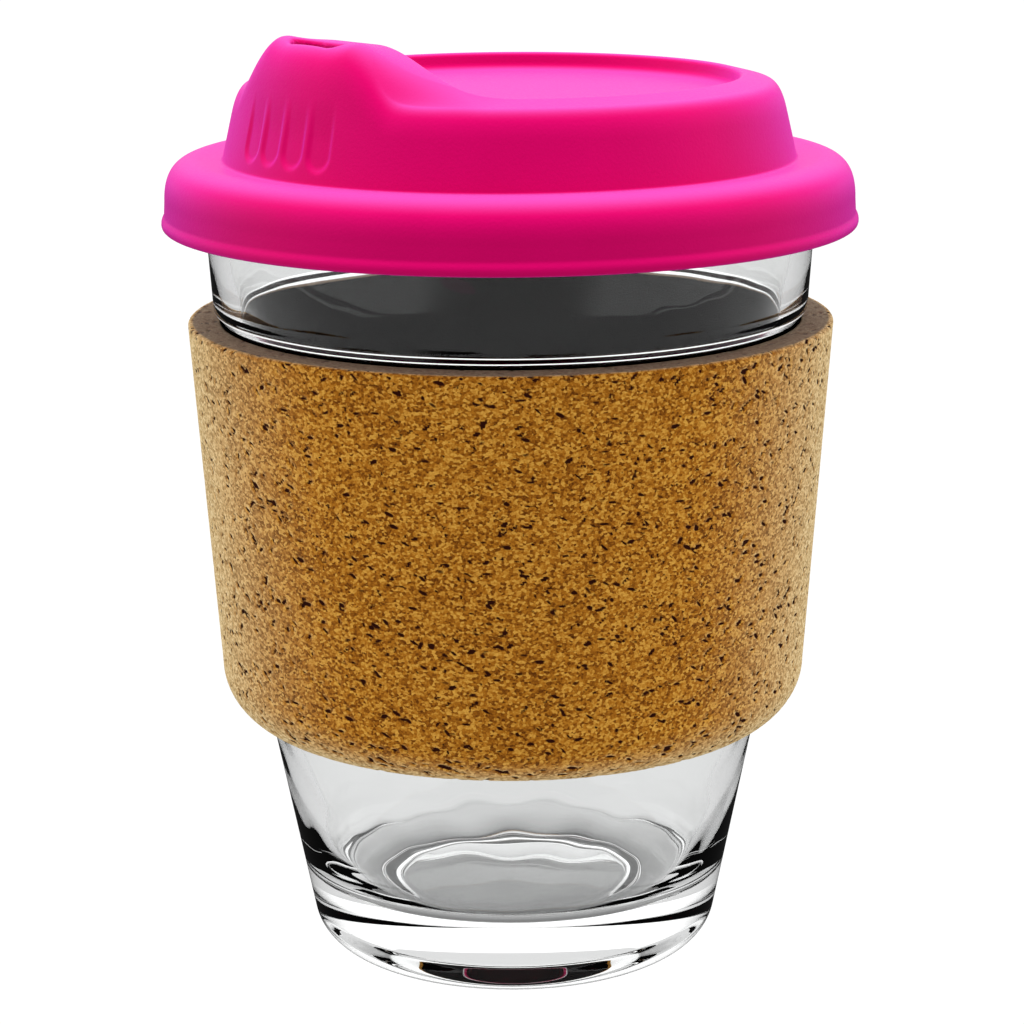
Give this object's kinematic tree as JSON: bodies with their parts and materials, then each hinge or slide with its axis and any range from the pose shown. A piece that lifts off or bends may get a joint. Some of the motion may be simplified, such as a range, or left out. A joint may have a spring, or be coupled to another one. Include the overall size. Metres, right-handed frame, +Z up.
{
  "type": "reusable glass cup with band and lid",
  "caption": "Tapered glass drinking cup with a thick base, a cork heat band round its waist and a push-on silicone lid with a raised sip spout.",
  "frame": {"origin": "centre of the foot ring, on the surface the cup stands on", "axes": "+Z up along the cup's axis; the lid's spout points to -Y"},
  "size_m": [0.0946, 0.0946, 0.1295],
  "materials": {
    "glass": "gloss",
    "cork": "matte",
    "silicone": "matte"
  },
  "bodies": {
    "cup": {"glass_cup": "glass"},
    "band": {"cork_band": "cork"},
    "lid": {"silicone_lid": "silicone"}
  },
  "joints": [
    {"name": "lid_lift", "type": "slide", "parent": "cup", "child": "lid", "axis": [0, 0, 1], "range_m": [0, 0.08]},
    {"name": "band_slide", "type": "slide", "parent": "cup", "child": "band", "axis": [0, 0, 1], "range_m": [-0.0335, 0]}
  ]
}
